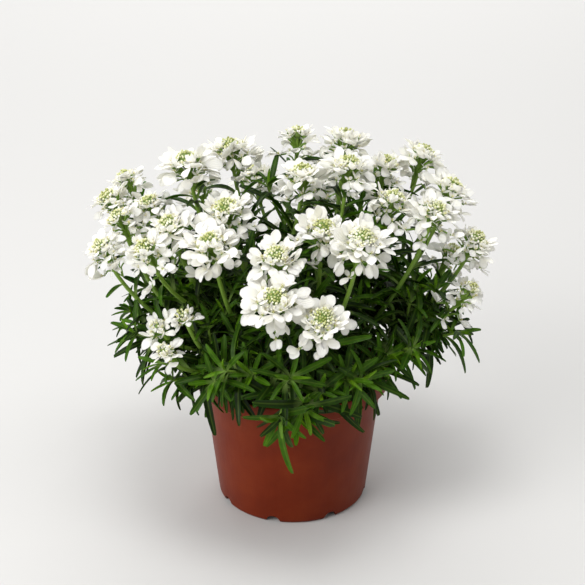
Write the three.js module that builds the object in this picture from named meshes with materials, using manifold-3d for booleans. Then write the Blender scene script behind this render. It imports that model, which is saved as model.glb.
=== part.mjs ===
import * as THREE from "three";
import { mergeVertices } from "three/addons/utils/BufferGeometryUtils.js";
import Module from "manifold-3d";

// An evergreen candytuft in full flower, in the terracotta-coloured plastic pot that it was grown in.
// Millimetres, +Z up. The origin is the centre of the pot's foot, on the surface that it stands on,
// and -Y is the plant's front. The woody branches rise from holes in the soil and fork into flowering
// stems and short leafy shoots. Each flowering stem ends in a green dome of buds, with a white ring
// of florets round it.

const wasm = await Module();
wasm.setup();

// Driving dimensions of the pot and its soil
const POT_HEIGHT = 88;
const RIM_RADIUS = 60.5;
const RIM_BAND = 10;
const SHOULDER_RADIUS = 55.4;
const FOOT_RADIUS = 46.7;
const WALL = 1.2;
const PLATE_HEIGHT = 3;
const PAD_RADIUS = 16;
const POT_SIDES = 32;
const NOTCHES = 8;
const NOTCH_WIDTH = 9;
const NOTCH_HEIGHT = 4.6;
const FIRST_NOTCH_DEGREES = -105;
const SOIL_TOP = 78;
const SOIL_RELIEF = 1.6;
const SOIL_SIDES = 16;
const SEAT_GAP = 0.35;

// Driving dimensions of the plant
const CROWN_HEIGHT = 88;
const FOOT_DEPTH = 14;
const FOOT_RISE = 4;
const WOOD_RADIUS = 2.3;
const FORK_RADIUS = 1.7;
const STEM_RADIUS = 1.35;
const FORK_SHARE = 0.16;
const SHOOT_BASE_RADIUS = 1.5;
const SHOOT_TIP_RADIUS = 1.1;
const LEAF_LENGTH = 24;
const LEAF_WIDTH = 4.8;
const LEAF_ROOT_WIDTH = 0.8;
const LEAF_THICKNESS = 1;
const LEAVES_PER_STEM = 4;
const LEAVES_PER_SHOOT = 4;
const RIM_SHOOTS = 16;
const SIDE_SHOOTS = 18;
const SHOOT_REACH = 91;
const TIP_SPACING = 23;
const PETALS_PER_HEAD = 7;
const PETALS_PER_SMALL_HEAD = 6;
const SMALL_HEAD = 28;
const RING_HOLE = 1.95;
const RING_RADIUS = 4.4;
const PETAL_THICKNESS = 1.2;
const DOME_SHARE = 0.165;
const DOME_LIFT = 3.6;
const CLEARANCE = 0.3;
const SHORTEST_EDGE = 0.02;
const GOLDEN_ANGLE = Math.PI * (3 - Math.sqrt(5));

// Each branch: the point where it leaves the soil, then its flower heads as x, y, z and diameter
const BRANCHES = [
  { foot: [-4, -26], heads: [[-10, -94, 173, 36], [-9, -66, 186, 32]] },
  { foot: [10, -28], heads: [[38, -66, 196, 36], [16, -98, 163, 31]] },
  { foot: [9, -9], heads: [[17, -44, 193, 34], [33, 2, 215, 33]] },
  { foot: [-18, -21], heads: [[-46, -54, 189, 35], [-76, -58, 139, 20]] },
  { foot: [-30, -30], heads: [[-61, -66, 150, 16], [-71, -76, 133, 17]] },
  { foot: [-6, -1], heads: [[-38, -22, 197, 34], [6, 8, 208, 31]] },
  { foot: [-22, -8], heads: [[-71, -26, 189, 30], [-82, -54, 186, 27]] },
  { foot: [-36, -12], heads: [[-109, -36, 179, 27], [-102, -8, 186, 26]] },
  { foot: [-36, 4], heads: [[-85, 6, 190, 24], [-111, 22, 187, 27]] },
  { foot: [-24, 13], heads: [[-63, 15, 213, 37], [-103, 44, 192, 26]] },
  { foot: [-6, 15], heads: [[-38, 42, 212, 38], [3, 62, 214, 28]] },
  { foot: [11, 12], heads: [[33, 58, 213, 37], [57, 30, 206, 28]] },
  { foot: [22, 8], heads: [[59, -6, 197, 30], [80, 43, 208, 33]] },
  { foot: [28, -5], heads: [[82, -24, 197, 30], [95, 16, 196, 33]] },
  { foot: [40, -2], heads: [[108, -8, 172, 29], [98, 20, 152, 27], [104, -24, 147, 22]] },
  { foot: [0, 30], heads: [[20, 94, 169, 34], [-24, 92, 177, 34], [-2, 108, 136, 28]] },
  { foot: [22, 24], heads: [[58, 78, 178, 34], [89, 52, 168, 30], [60, 98, 138, 28]] },
  { foot: [-22, 28], heads: [[-60, 74, 177, 32], [-92, 58, 157, 30], [-56, 98, 138, 28]] },
];

const paint = (color, roughness) => new THREE.MeshStandardMaterial({ color, roughness, metalness: 0 });
const potPlastic = () => paint(0x9a4a32, 0.5);
const pottingSoil = () => paint(0x2e2118, 0.95);
const leafGreen = () => paint(0x3c7a22, 0.5);
const petalWhite = () => paint(0xf6f5f0, 0.6);

// Small helpers

const vec = (x, y, z) => new THREE.Vector3(x, y, z);
const UP = vec(0, 0, 1);
const mix = (a, b, share) => a + (b - a) * share;
const numbered = (word, i) => `${word}_${String(i + 1).padStart(2, "0")}`;

// A repeatable value from 0 to 1 for two whole numbers
function chance(a, b) {
  let h = Math.imul(a + 1, 374761393) + Math.imul(b + 1, 668265263);
  h = Math.imul(h ^ (h >>> 13), 1274126177);
  h ^= h >>> 16;
  return (h >>> 0) / 4294967296;
}

// A closed geometry as a solid that can be cut and joined
function solidOf(geometry) {
  const bare = new THREE.BufferGeometry();
  bare.setAttribute("position", geometry.getAttribute("position"));
  bare.setIndex(geometry.getIndex());
  const merged = mergeVertices(bare, 1e-4);
  const corners = merged.getIndex().array;
  const kept = [];
  for (let i = 0; i < corners.length; i += 3) {
    const [a, b, c] = corners.slice(i, i + 3);
    if (a !== b && b !== c && c !== a) kept.push(a, b, c);
  }
  return new wasm.Manifold(
    new wasm.Mesh({
      numProp: 3,
      vertProperties: new Float32Array(merged.getAttribute("position").array),
      triVerts: new Uint32Array(kept),
    }),
  );
}

// The triangles of a mesh once each edge that is too short to matter is drawn together into one corner
function withoutShortEdges(places, triangles) {
  const corner = (i) => vec(places[3 * i], places[3 * i + 1], places[3 * i + 2]);
  const joined = [...Array(places.length / 3).keys()];
  const rootOf = (i) => (joined[i] === i ? i : rootOf(joined[i]));
  for (let i = 0; i < triangles.length; i += 3) {
    const [a, b, c] = triangles.slice(i, i + 3);
    for (const [from, to] of [[a, b], [b, c], [c, a]]) {
      if (corner(from).distanceTo(corner(to)) < SHORTEST_EDGE) joined[rootOf(from)] = rootOf(to);
    }
  }
  const kept = [];
  for (let i = 0; i < triangles.length; i += 3) {
    const [a, b, c] = [0, 1, 2].map((k) => rootOf(triangles[i + k]));
    if (a !== b && b !== c && c !== a) kept.push(a, b, c);
  }
  return kept;
}

function meshOf(name, solid, material) {
  const { vertProperties, triVerts } = solid.getMesh();
  const geometry = new THREE.BufferGeometry();
  geometry.setAttribute("position", new THREE.BufferAttribute(vertProperties, 3));
  geometry.setIndex(withoutShortEdges(vertProperties, triVerts));
  geometry.computeVertexNormals();
  const mesh = new THREE.Mesh(geometry, material);
  mesh.name = name;
  return mesh;
}

// The largest body of a solid, so that a scrap cut loose by a join is dropped
function largest(solid) {
  return solid.decompose().reduce((a, b) => (a.volume() > b.volume() ? a : b));
}

// A closed solid from points and faces given as lists of corners
function faceted(points, faces) {
  const triangles = faces.flatMap((f) => f.slice(2).flatMap((c, i) => [f[0], f[i + 1], c]));
  return solidOf(new THREE.BufferGeometry().setFromPoints(points).setIndex(triangles));
}

// A closed skin over sections with equal numbers of corners, turning left round the way they run
function loft(sections) {
  const sides = sections[0].length;
  const around = [...Array(sides).keys()];
  const faces = [[...around].reverse()];
  for (let s = 0; s + 1 < sections.length; s++) {
    const [a, b] = [s * sides, (s + 1) * sides];
    for (const i of around) {
      const j = (i + 1) % sides;
      faces.push([a + i, a + j, b + j, b + i]);
    }
  }
  faces.push(around.map((i) => (sections.length - 1) * sides + i));
  return faceted(sections.flat(), faces);
}

// A ring of corners round a point, in the plane across a way, some height along that way
function ringOf(centre, way, radius, height, sides, phase = 0) {
  const level = vec(way.y, -way.x, 0.001).normalize();
  const across = level.addScaledVector(way, -level.dot(way)).normalize();
  const third = way.clone().cross(across);
  return [...Array(sides).keys()].map((i) => {
    const turn = (2 * Math.PI * (i + phase)) / sides;
    const corner = centre.clone().addScaledVector(way, height);
    corner.addScaledVector(across, radius * Math.cos(turn));
    return corner.addScaledVector(third, radius * Math.sin(turn));
  });
}

// The pot and its soil

function turned(profile, sides) {
  const points = profile.map(([r, z]) => new THREE.Vector2(r, z));
  return new THREE.LatheGeometry(points, sides).rotateX(Math.PI / 2);
}

// A thin moulded wall with a rim band standing proud. The floor is raised between the foot ring, which
// the drain notches cut, and a round pad that stands on the ground in the middle.
function makePot() {
  const band = POT_HEIGHT - RIM_BAND;
  const edge = 0.8;
  const profile = [
    [0, 0],
    [PAD_RADIUS, 0],
    [PAD_RADIUS + PLATE_HEIGHT, PLATE_HEIGHT],
    [FOOT_RADIUS - 2 * WALL, PLATE_HEIGHT],
    [FOOT_RADIUS - 1.6 * WALL, 0],
    [FOOT_RADIUS - edge, 0],
    [FOOT_RADIUS + 0.4, 1.5],
    [SHOULDER_RADIUS, band - 1.4],
    [RIM_RADIUS, band],
    [RIM_RADIUS, POT_HEIGHT - edge],
    [RIM_RADIUS - WALL / 2, POT_HEIGHT],
    [RIM_RADIUS - WALL, POT_HEIGHT - edge],
    [RIM_RADIUS - WALL, band + WALL],
    [SHOULDER_RADIUS - WALL, band],
    [FOOT_RADIUS + 0.6 - WALL, PLATE_HEIGHT + WALL],
    [PAD_RADIUS + PLATE_HEIGHT - edge, PLATE_HEIGHT + WALL],
    [PAD_RADIUS - edge, WALL],
    [0, WALL],
  ];
  let pot = solidOf(turned(profile, POT_SIDES));
  for (let i = 0; i < NOTCHES; i++) {
    const angle = THREE.MathUtils.degToRad(FIRST_NOTCH_DEGREES) + (i * 2 * Math.PI) / NOTCHES;
    const arch = new THREE.CylinderGeometry(NOTCH_WIDTH / 2, NOTCH_WIDTH / 2, 12, 6);
    arch.rotateZ(Math.PI / 2).scale(1, 1, (2 * NOTCH_HEIGHT) / NOTCH_WIDTH);
    arch.translate(FOOT_RADIUS, 0, 0).rotateZ(angle);
    pot = pot.subtract(solidOf(arch));
  }
  return pot;
}

// Peat-dark soil that fills the pot, with a lumpy top
function makeSoil() {
  const lump = (r, a) => Math.sin(r * 0.31 + 3 * a) + 0.7 * Math.cos(r * 0.17 - 5 * a + 1);
  const floor = PLATE_HEIGHT + WALL + SEAT_GAP;
  const inset = WALL + SEAT_GAP + 0.4;
  const profile = [
    [0, WALL + SEAT_GAP],
    [PAD_RADIUS - inset, WALL + SEAT_GAP],
    [PAD_RADIUS - inset + PLATE_HEIGHT, floor],
    [FOOT_RADIUS + 0.4 - inset, floor],
    [SHOULDER_RADIUS - 0.5 - inset, SOIL_TOP - 3],
    [44, SOIL_TOP],
    [24, SOIL_TOP],
    [0, SOIL_TOP],
  ];
  const geometry = turned(profile, SOIL_SIDES);
  const corners = geometry.getAttribute("position");
  for (let i = 0; i < corners.count; i++) {
    const [x, y, z] = [corners.getX(i), corners.getY(i), corners.getZ(i)];
    const r = Math.round(Math.hypot(x, y));
    if (r === 0 || z < SOIL_TOP - 4) continue;
    corners.setZ(i, z + SOIL_RELIEF * Math.round(lump(r, Math.atan2(y, x)) * 50) / 50);
  }
  return solidOf(geometry);
}

// Stems and leaves

// The way along a stem at a share of its length, with two directions across it
function frameAt(curve, share) {
  const along = curve.getTangent(share);
  const run = curve.getPoint(1).sub(curve.getPoint(0));
  const level = vec(-run.y, run.x, 0.001).normalize();
  const across = level.addScaledVector(along, -level.dot(along)).normalize();
  return { at: curve.getPoint(share), along, across, third: along.clone().cross(across) };
}

function tube(curve, radiusAt, steps, sides) {
  const sections = [...Array(steps + 1).keys()].map((step) => {
    const { at, across, third } = frameAt(curve, step / steps);
    const radius = radiusAt(step / steps);
    return [...Array(sides).keys()].map((i) => {
      const turn = (2 * Math.PI * i) / sides;
      const corner = at.clone().addScaledVector(across, radius * Math.cos(turn));
      return corner.addScaledVector(third, radius * Math.sin(turn));
    });
  });
  return loft(sections);
}

// Which way a flower head faces: part outwards from the crown and part up
function facing(centre) {
  const outward = centre.clone().sub(vec(0, 0, CROWN_HEIGHT)).normalize();
  return outward.multiplyScalar(0.6).addScaledVector(UP, 0.4).normalize();
}

// A stem sets off along one way and comes up into its head or tip along another
function stemCurve(start, way, end, endWay) {
  const reach = start.distanceTo(end);
  const first = start.clone().addScaledVector(way, 0.36 * reach);
  const second = end.clone().addScaledVector(endWay, -0.4 * reach);
  return new THREE.CubicBezierCurve3(start, first, second, end);
}

// A narrow leaf, widest past its middle and keeled below, that springs up from its stem and arches over
function leafBlade({ at, along, across, third }, turn, length, extra = 0) {
  const out = across.clone().multiplyScalar(Math.cos(turn)).addScaledVector(third, Math.sin(turn));
  const rising = along.clone().multiplyScalar(0.6).addScaledVector(out, 0.8).normalize();
  const face = along.clone().multiplyScalar(0.8).addScaledVector(out, -0.6).normalize();
  const side = rising.clone().cross(face);
  const arching = rising.clone().addScaledVector(UP, -0.5).addScaledVector(out, 0.25).normalize();
  const section = (centre, width, depth) => {
    const shifts = [
      [width / 2 + extra, depth / 2 + extra],
      [-width / 2 - extra, depth / 2 + extra],
      [0, -depth / 2 - extra],
    ];
    return shifts.map(([aside, proud]) => {
      return centre.clone().addScaledVector(side, aside).addScaledVector(face, proud);
    });
  };
  const middle = at.clone().addScaledVector(rising, 0.58 * length);
  const tip = middle.clone().addScaledVector(arching, 0.42 * length + extra);
  const faces = [
    [0, 1, 2],
    [1, 0, 3, 4],
    [2, 1, 4, 5],
    [0, 2, 5, 3],
    [3, 6, 4],
    [4, 6, 5],
    [5, 6, 3],
  ];
  const root = section(at, LEAF_ROOT_WIDTH, 0.7 * LEAF_ROOT_WIDTH);
  return faceted([...root, ...section(middle, LEAF_WIDTH, LEAF_THICKNESS), tip], faces);
}

// Flower heads

// The knobbly green dome of unopened buds at the end of a flowering stem
function budDome({ centre, way, diameter }) {
  const radius = DOME_SHARE * diameter;
  const rim = ringOf(centre, way, radius, DOME_LIFT, 6);
  const buds = ringOf(centre, way, 0.72 * radius, DOME_LIFT + 0.5 * radius, 6, 0.5);
  const crown = centre.clone().addScaledVector(way, DOME_LIFT + 0.68 * radius);
  const under = centre.clone().addScaledVector(way, DOME_LIFT / 3);
  const faces = [];
  for (let i = 0; i < 6; i++) {
    const j = (i + 1) % 6;
    faces.push([12, 6 + i, 6 + j], [6 + i, i, j], [6 + i, j, 6 + j], [13, j, i]);
  }
  return faceted([...rim, ...buds, crown, under], faces);
}

// The corners of one floret's two broad outer petals: a blade with two lobes, ridged along its middle
function petalCorners({ centre, way }, { out, reach, width, lift }, extra = 0) {
  const side = way.clone().cross(out);
  const corner = (radius, sideways, height) => {
    const point = centre.clone().addScaledVector(out, radius).addScaledVector(side, sideways);
    return point.addScaledVector(way, height + (radius - RING_HOLE) * Math.tan(lift));
  };
  return {
    root: corner(RING_HOLE + 0.4, 0, 0),
    lobes: [
      corner(0.92 * reach + extra, -width / 2 - extra, 0.7),
      corner(0.9 * reach + extra, 0, -0.1),
      corner(0.92 * reach + extra, width / 2 + extra, 0.7),
    ],
    above: corner(0.6 * reach, 0, PETAL_THICKNESS / 4 + extra),
    below: corner(0.6 * reach, 0, -0.75 * PETAL_THICKNESS - extra),
  };
}

// The space that a petal pair takes up, used to keep it clear of its neighbours
function petalRoom(head, petal) {
  const { root, lobes, above, below } = petalCorners(head, petal, CLEARANCE);
  const faces = [];
  for (let i = 0; i < 4; i++) {
    const j = (i + 1) % 4;
    faces.push([4, i, j], [5, j, i]);
  }
  return faceted([root, ...lobes, above, below], faces);
}

// The white ring of florets round a stem's top, as one body with a hole for the stem
function flowerRing(head) {
  const { centre, way, phase, petals } = head;
  const count = petals.length;
  const points = [
    ...ringOf(centre, way, RING_HOLE, 0.5, count, phase - 0.5),
    ...ringOf(centre, way, RING_HOLE, -0.8, count, phase - 0.5),
    ...ringOf(centre, way, RING_RADIUS, 0, count, phase - 0.5),
  ];
  const faces = [];
  petals.forEach((petal, i) => {
    const j = (i + 1) % count;
    const { lobes, above, below } = petalCorners(head, petal);
    const first = points.push(...lobes, above, below) - 5;
    const [left, notch, right, top, bottom] = [0, 1, 2, 3, 4].map((k) => first + k);
    const edge = [2 * count + i, left, notch, right, 2 * count + j];
    const upper = [i, ...edge, j];
    const lower = [count + i, ...edge, count + j];
    upper.forEach((corner, k) => faces.push([top, corner, upper[(k + 1) % upper.length]]));
    lower.forEach((corner, k) => faces.push([bottom, lower[(k + 1) % lower.length], corner]));
    faces.push([i, j, count + j, count + i]);
  });
  return faceted(points, faces);
}

// Room in the plant

// Every piece that stands so far, with the node that it belongs to
const standing = [];

function stand(owner, solid, isBlade = false) {
  const { min, max } = solid.boundingBox();
  standing.push({ owner, isBlade, solid, min, max });
}

// Whether a piece is clear of all other nodes, and of the leaves of its own
function isClear(owner, solid) {
  const { min, max } = solid.boundingBox();
  return standing.every((other) => {
    if (other.owner === owner && !other.isBlade) return true;
    for (let k = 0; k < 3; k++) {
      if (other.max[k] < min[k] || other.min[k] > max[k]) return true;
    }
    return solid.intersect(other.solid).volume() === 0;
  });
}

const pot = makePot();
let soil = makeSoil();
stand("pot", pot);
stand("soil", soil);

// The stems: a branch's first head is on its main stem, and the others fork from it low down
const heads = [];
const branches = BRANCHES.map(({ foot: [x, y], heads: list }, b) => {
  const name = numbered("leafy_branch", b);
  const start = vec(x, y, SOIL_TOP + FOOT_RISE);
  const stems = [];
  for (const [i, [headX, headY, headZ, diameter]] of list.entries()) {
    const centre = vec(headX, headY, headZ);
    const way = facing(centre);
    const trunk = i ? stems[0].curve : null;
    const from = trunk ? trunk.getPoint(FORK_SHARE * i) : start;
    const leaning = trunk ? trunk.getTangent(FORK_SHARE * i) : vec(x, y, 60).normalize();
    const curve = stemCurve(from, leaning, centre, way);
    const thick = trunk ? FORK_RADIUS : WOOD_RADIUS;
    const solid = tube(curve, (share) => mix(thick, STEM_RADIUS, Math.min(1, 2 * share)), 4, 3);
    stems.push({ curve, solid, isShoot: false });
    stand(name, solid);
    heads.push({ centre, way, diameter, branch: name });
  }
  const buried = FOOT_DEPTH + FOOT_RISE + 0.3;
  const wood = new THREE.CylinderGeometry(WOOD_RADIUS, WOOD_RADIUS, buried, 6);
  const trunkFoot = solidOf(wood.rotateX(Math.PI / 2).translate(x, y, start.z + 0.3 - buried / 2));
  const boring = 2 * FOOT_DEPTH;
  const hole = new THREE.CylinderGeometry(WOOD_RADIUS + SEAT_GAP, WOOD_RADIUS + SEAT_GAP, boring, 6);
  hole.rotateX(Math.PI / 2).translate(x, y, SOIL_TOP - FOOT_DEPTH - SEAT_GAP + boring / 2);
  soil = soil.subtract(solidOf(hole));
  return { name, stems, trunkFoot };
});

// The flower heads: small rings first, then each petal pair grows as far as its neighbours let it
heads.forEach((head, h) => {
  head.name = numbered("flower_head", h);
  head.phase = 0.5 * (h % 2);
  const count = head.diameter < SMALL_HEAD ? PETALS_PER_SMALL_HEAD : PETALS_PER_HEAD;
  const ways = ringOf(vec(0, 0, 0), head.way, 1, 0, count, head.phase);
  head.petals = ways.map((out, i) => {
    return { out, reach: RING_RADIUS + 0.3, width: 1, lift: mix(0.02, 0.36, chance(h, i)) };
  });
  stand(head.name, flowerRing(head));
  stand(head.branch, budDome(head));
});
heads.forEach((head, h) => {
  head.petals.forEach((petal, i) => {
    const full = (head.diameter / 2) * mix(0.9, 1.08, chance(h, i + 20));
    let free = full;
    for (const other of heads) {
      if (other === head) continue;
      const gap = other.centre.clone().sub(head.centre);
      const halfway = gap.length() / 2 - CLEARANCE;
      const towards = petal.out.dot(gap.normalize());
      if (towards > 0.2) free = Math.min(free, halfway / towards);
    }
    for (const share of [1, 0.9, 0.8, 0.7, 0.6]) {
      const reach = free * share;
      const width = ((0.6 * Math.PI * head.diameter) / head.petals.length) * Math.min(1, 0.2 + reach / full);
      const room = petalRoom(head, { ...petal, reach, width });
      if (!isClear(head.name, room)) continue;
      Object.assign(petal, { reach, width });
      stand(head.name, room);
      break;
    }
  });
});

// The tips of the leafy shoots: a row that hangs over the rim, then more up the plant's sides
const tips = [];
for (let i = 0; i < RIM_SHOOTS; i++) {
  const turn = (2 * Math.PI * (i + 0.3 * chance(i, 3))) / RIM_SHOOTS - Math.PI / 2;
  const level = mix(80, 92, chance(i, 5));
  tips.push(vec(level * Math.cos(turn), level * Math.sin(turn), mix(96, 112, chance(i, 4))));
}
for (let i = 0; i < SIDE_SHOOTS; i++) {
  const rise = THREE.MathUtils.degToRad(mix(14, 46, (i + 0.5) / SIDE_SHOOTS));
  const reach = SHOOT_REACH + mix(-8, 8, chance(i, 7));
  const level = reach * Math.cos(rise);
  const turn = i * GOLDEN_ANGLE;
  const tip = vec(level * Math.cos(turn), level * Math.sin(turn), CROWN_HEIGHT + reach * Math.sin(rise));
  if (tips.every((other) => other.distanceTo(tip) > TIP_SPACING)) tips.push(tip);
}

// Each shoot leaves the nearest stem that it can reach its tip from without touching another branch
for (const tip of tips) {
  const outward = vec(tip.x, tip.y, 0).normalize();
  const endWay = outward.clone().addScaledVector(UP, 0.45).normalize();
  const choices = branches.flatMap((branch) =>
    [0.12, 0.24, 0.36, 0.48].map((share) => {
      const trunk = branch.stems[0].curve;
      return { branch, trunk, share, far: trunk.getPoint(share).distanceTo(tip) };
    }),
  );
  choices.sort((a, b) => a.far - b.far);
  for (const { branch, trunk, share } of choices.slice(0, 24)) {
    const way = trunk.getTangent(share).addScaledVector(outward, 0.9).normalize();
    const curve = stemCurve(trunk.getPoint(share), way, tip, endWay);
    const radiusAt = (s) => mix(SHOOT_BASE_RADIUS, SHOOT_TIP_RADIUS, s);
    if (!isClear(branch.name, tube(curve, (s) => radiusAt(s) + CLEARANCE, 3, 3))) continue;
    const solid = tube(curve, radiusAt, 3, 3);
    branch.stems.push({ curve, solid, isShoot: true });
    stand(branch.name, solid);
    break;
  }
}

// The leaves, spaced up each stem and turned by the golden angle, with a rosette at a shoot's tip
branches.forEach(({ name, stems }, b) => {
  stems.forEach((stem, s) => {
    const count = stem.isShoot ? LEAVES_PER_SHOOT : LEAVES_PER_STEM;
    const [low, high, stretch] = stem.isShoot ? [0.42, 0.98, 1.15] : [0.12, 0.82, 1];
    stem.leaves = [];
    for (let i = 0; i < count; i++) {
      const frame = frameAt(stem.curve, mix(low, high, (i + 0.5) / count));
      const length = LEAF_LENGTH * stretch * mix(0.85, 1.15, chance(8 * b + s, i));
      for (let attempt = 0; attempt < 9; attempt++) {
        const turn = (i + s) * GOLDEN_ANGLE + b + 0.7 * attempt;
        if (!isClear(name, leafBlade(frame, turn, length, CLEARANCE))) continue;
        const blade = leafBlade(frame, turn, length);
        stem.leaves.push(blade);
        stand(name, blade, true);
        break;
      }
    }
  });
});

// The finished model
const plant = new THREE.Group();
plant.add(meshOf("pot", pot, potPlastic()));
plant.add(meshOf("soil", soil, pottingSoil()));
for (const { name, stems, trunkFoot } of branches) {
  const domes = heads.filter((head) => head.branch === name).map(budDome);
  const pieces = [trunkFoot, ...stems.flatMap(({ solid, leaves }) => [solid, ...leaves]), ...domes];
  plant.add(meshOf(name, largest(wasm.Manifold.union(pieces)), leafGreen()));
}
for (const head of heads) {
  plant.add(meshOf(head.name, flowerRing(head), petalWhite()));
}

export default plant;
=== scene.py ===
import math

import bmesh
import bpy
import numpy as np
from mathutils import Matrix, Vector


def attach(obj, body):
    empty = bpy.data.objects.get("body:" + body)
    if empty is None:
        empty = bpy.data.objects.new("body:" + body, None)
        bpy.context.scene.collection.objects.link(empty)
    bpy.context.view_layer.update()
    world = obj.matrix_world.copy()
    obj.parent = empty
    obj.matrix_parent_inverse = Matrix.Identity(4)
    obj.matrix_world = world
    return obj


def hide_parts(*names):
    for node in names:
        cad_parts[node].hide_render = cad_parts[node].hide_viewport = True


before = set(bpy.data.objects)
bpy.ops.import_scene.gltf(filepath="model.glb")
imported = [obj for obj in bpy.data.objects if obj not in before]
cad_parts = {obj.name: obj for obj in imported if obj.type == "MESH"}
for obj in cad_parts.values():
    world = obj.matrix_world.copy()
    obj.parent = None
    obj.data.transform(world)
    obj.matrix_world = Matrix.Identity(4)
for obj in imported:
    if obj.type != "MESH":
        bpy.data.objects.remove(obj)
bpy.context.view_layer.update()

# Pot
# A 12 cm nursery pot, injection moulded in one piece from terracotta-coloured polypropylene. Its wall tapers
# to a foot ring with eight drain notches, a middle pad stiffens the floor, and the rim is a turned-out band.
POT_SIDES = 144
POT_CORNER_MM = 0.9
SHARP_DEGREES = 40
POT_PROFILE_MM = [
    (0, 0), (16, 0), (19, 3), (44.3, 3), (44.78, 0), (45.9, 0), (47.1, 1.5), (55.4, 76.6), (60.5, 78),
    (60.5, 87.2), (59.9, 88), (59.3, 87.2), (59.3, 79.2), (54.2, 78), (46.1, 4.2), (18.2, 4.2), (15.2, 1.2),
    (0, 1.2),
]
NOTCH_COUNT = 8
NOTCH_HALF_WIDTH_MM = 4.5
NOTCH_HEIGHT_MM = 4.6
NOTCH_REACH_MM = (40, 52)
NOTCH_SIDES = 28
FIRST_NOTCH_DEGREES = -105


def linear(colour):
    parts = [int(colour[i:i + 2], 16) / 255 for i in (1, 3, 5)]
    return [p / 12.92 if p <= 0.04045 else ((p + 0.055) / 1.055) ** 2.4 for p in parts] + [1]


def add(tree, kind, links=None, stops=(), points=(), **settings):
    """Adds one node. links gives each input a value or a node, stops a ramp's colours, points a curve's."""
    node = tree.nodes.new(kind)
    for name, value in settings.items():
        setattr(node, name, value)
    for socket, value in (links or {}).items():
        if isinstance(value, bpy.types.Node):
            value = value.outputs[0]
        if isinstance(value, bpy.types.NodeSocket):
            tree.links.new(value, node.inputs[socket])
        else:
            node.inputs[socket].default_value = value
    for i, (place, colour) in enumerate(stops):
        ramp = node.color_ramp.elements
        stop = ramp[i] if i < len(ramp) else ramp.new(place)
        stop.position = place
        stop.color = linear(colour)
    for i, (place, height) in enumerate(points):
        curve = node.mapping.curves[0].points
        if i < len(curve):
            curve[i].location = (place, height)
        else:
            curve.new(place, height)
    return node


def bare_material(name):
    material = bpy.data.materials.new(name)
    material.use_nodes = True
    material.node_tree.nodes.clear()
    return material, material.node_tree


def in_scene(name, data):
    thing = bpy.data.objects.new(name, data)
    bpy.context.scene.collection.objects.link(thing)
    return thing


def shown(name, mesh):
    piece = in_scene(name, mesh)
    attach(piece, "root")
    return piece


def rounded(profile, radius):
    """The profile with each of its corners cut to a short curve."""
    corners = [Vector(p) for p in profile]
    points = [corners[0]]
    for before, corner, after in zip(corners, corners[1:], corners[2:]):
        a, b = before - corner, after - corner
        cut = min(radius, 0.42 * a.length, 0.42 * b.length)
        first, last = corner + a.normalized() * cut, corner + b.normalized() * cut
        for t in (0, 0.35, 0.65, 1):
            points.append(first * (1 - t) ** 2 + corner * 2 * t * (1 - t) + last * t * t)
    return points + [corners[-1]]


def ring_about_z(shape, r, sides, height):
    """A ring of vertices about +Z, each as high as height says. On the axis one stands for them all."""
    if not r:
        return [shape.verts.new((0, 0, height(0, 0)))] * sides
    turns = [2 * math.pi * k / sides for k in range(sides)]
    places = [(r * math.cos(turn), r * math.sin(turn)) for turn in turns]
    return [shape.verts.new((x, y, height(x, y))) for x, y in places]


def skinned(shape, rings):
    """The shape with faces between each ring and the next, all of them facing outwards."""
    for lower, upper in zip(rings, rings[1:]):
        for k in range(len(lower)):
            after = (k + 1) % len(lower)
            shape.faces.new(list(dict.fromkeys([lower[k], lower[after], upper[after], upper[k]])))
    bmesh.ops.recalc_face_normals(shape, faces=shape.faces)
    return shape


def smoothed(mesh, sharp_degrees=SHARP_DEGREES):
    mesh.shade_smooth()
    mesh.set_sharp_from_angle(angle=math.radians(sharp_degrees))
    return mesh


def made_mesh(name, shape):
    mesh = bpy.data.meshes.new(name)
    shape.to_mesh(mesh)
    shape.free()
    return smoothed(mesh)


def evaluated_mesh(carrier):
    """The plain mesh that a carrier's modifiers make, which then replaces the carrier."""
    ready = bpy.context.evaluated_depsgraph_get()
    mesh = bpy.data.meshes.new_from_object(
        carrier.evaluated_get(ready), preserve_all_data_layers=True, depsgraph=ready)
    carrier.modifiers.clear()
    bpy.data.objects.remove(carrier)
    return mesh


# Moulded polypropylene with pigment: a satin skin, broken by cloudy patches about 26 mm wide, upright streaks
# of 1 by 30 mm from the mould and a grain of 0.4 mm, with a few dried, chalky splash marks of 2 mm.
polypropylene, tree = bare_material("moulded_polypropylene")
where = add(tree, "ShaderNodeTexCoord").outputs["Object"]
cloud = add(tree, "ShaderNodeTexNoise", {"Vector": where, "Scale": 38, "Detail": 4, "Roughness": 0.6})
grain = add(tree, "ShaderNodeTexNoise", {"Vector": where, "Scale": 2600, "Detail": 2})
drawn = add(tree, "ShaderNodeMapping", {"Vector": where, "Scale": (900, 900, 34)})
streak = add(tree, "ShaderNodeTexNoise", {"Vector": drawn, "Scale": 1, "Detail": 3})
skin = add(tree, "ShaderNodeValToRGB", {"Fac": cloud}, stops=[
    (0.3, "#63200a"), (0.5, "#6b240b"), (0.72, "#732b0f")])
splash = add(tree, "ShaderNodeTexNoise", {"Vector": where, "Scale": 520, "Detail": 6, "Roughness": 0.7})
spots = add(tree, "ShaderNodeMapRange", {"Value": splash, "From Min": 0.66, "From Max": 0.76, "To Max": 0.32})
dusty = add(tree, "ShaderNodeMix", {0: spots, 6: skin, 7: linear("#7a4a36")}, data_type="RGBA")
sheen_break = add(tree, "ShaderNodeMapRange", {"Value": streak, "To Min": 0.36, "To Max": 0.52})
relief = add(tree, "ShaderNodeMath", {0: grain, 1: 0.6, 2: streak}, operation="MULTIPLY_ADD")
bump = add(tree, "ShaderNodeBump", {"Height": relief, "Strength": 0.12, "Distance": 0.0003})
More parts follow.
